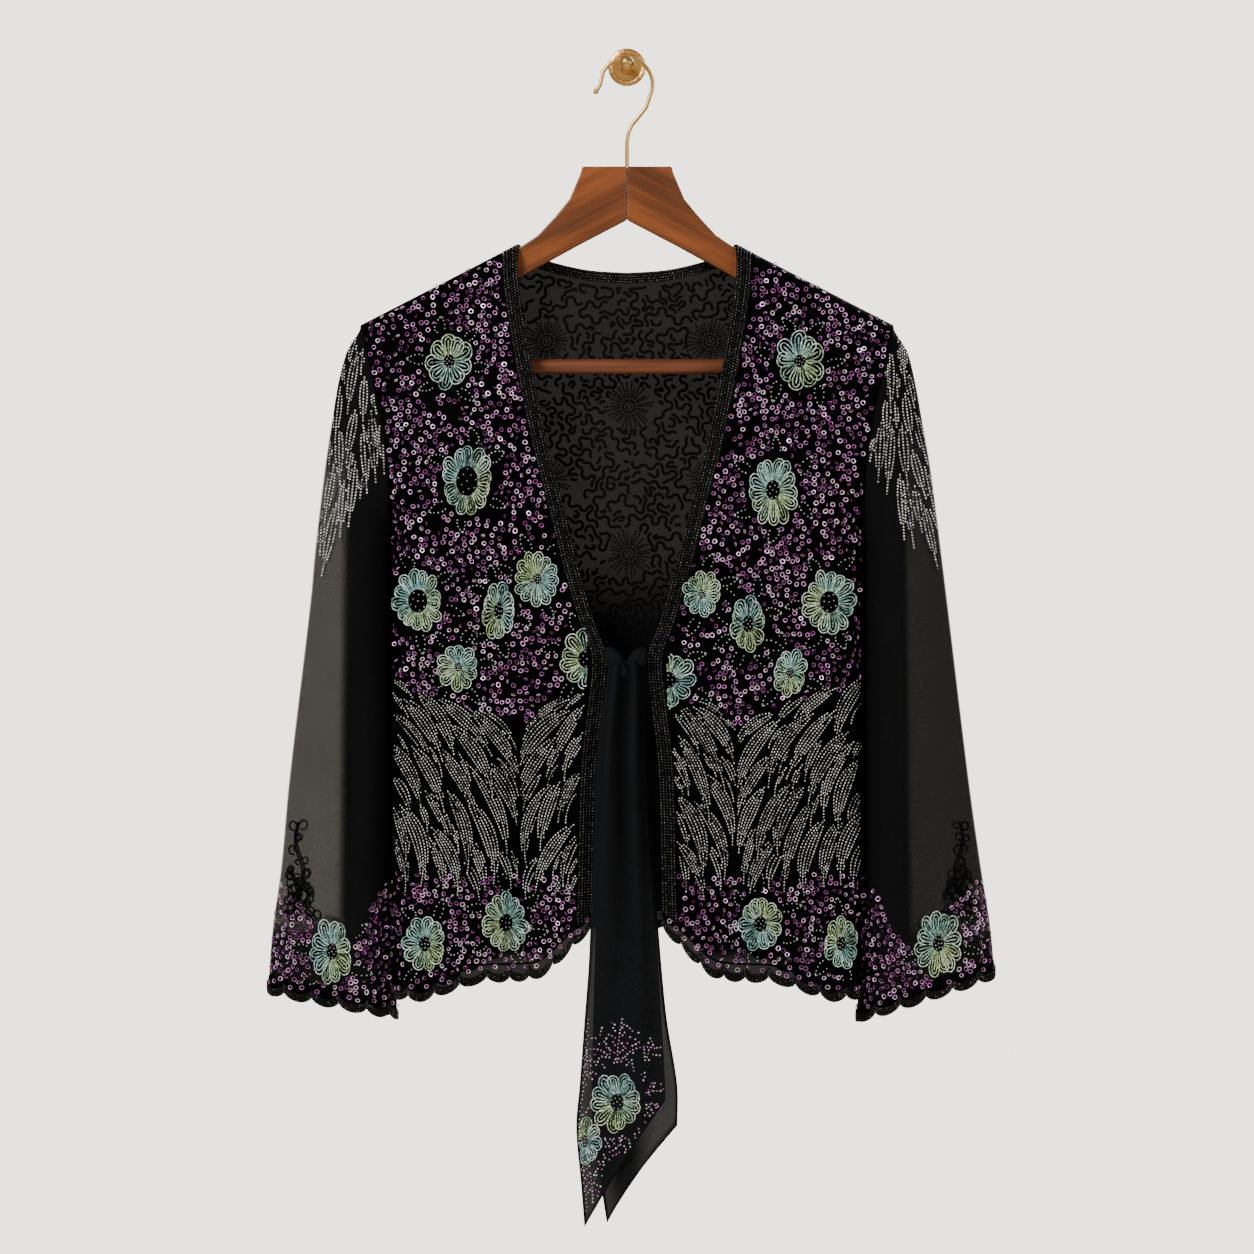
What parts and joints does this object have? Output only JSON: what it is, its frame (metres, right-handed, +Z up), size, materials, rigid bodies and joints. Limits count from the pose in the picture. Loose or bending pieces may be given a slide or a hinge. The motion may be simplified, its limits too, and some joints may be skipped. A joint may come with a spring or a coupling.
{
  "type": "evening jacket",
  "caption": "Short sheer black evening jacket with beads, sequins and thread flowers, tied at the front, on a wooden hanger from a wall hook.",
  "frame": {"origin": "middle of the flat back of the wall rosette, where it is fixed to the wall", "axes": "+Z up, the wall is the plane Y = 0 and the room is towards -Y, +X to the right as seen from the room"},
  "size_m": [0.5688, 0.0881, 0.9236],
  "materials": {
    "sheer_black": "sheer matt chiffon",
    "beaded_black": "black net set with glossy sequins and beads",
    "bead_band": "rows of glossy black beads on cloth",
    "corded_edging": "matt corded edging",
    "walnut": "satin varnish",
    "brass": "satin"
  },
  "bodies": {
    "root": {"front_left": "beaded_black", "front_right": "beaded_black", "back": "beaded_black", "sleeve_left": "sheer_black", "sleeve_right": "sheer_black", "front_band_left": "bead_band", "front_band_right": "bead_band", "neck_band": "bead_band", "hem_edging_left": "corded_edging", "hem_edging_right": "corded_edging", "hem_edging_back": "corded_edging", "cuff_edging_left": "corded_edging", "cuff_edging_right": "corded_edging", "tie_knot": "sheer_black", "tie_tail_front": "sheer_black", "tie_tail_rear": "sheer_black", "hanger_arm_left": "walnut", "hanger_arm_right": "walnut", "hanger_bar": "walnut", "hook_wire": "brass", "wall_rosette": "brass", "wall_peg": "brass"}
  },
  "joints": []
}
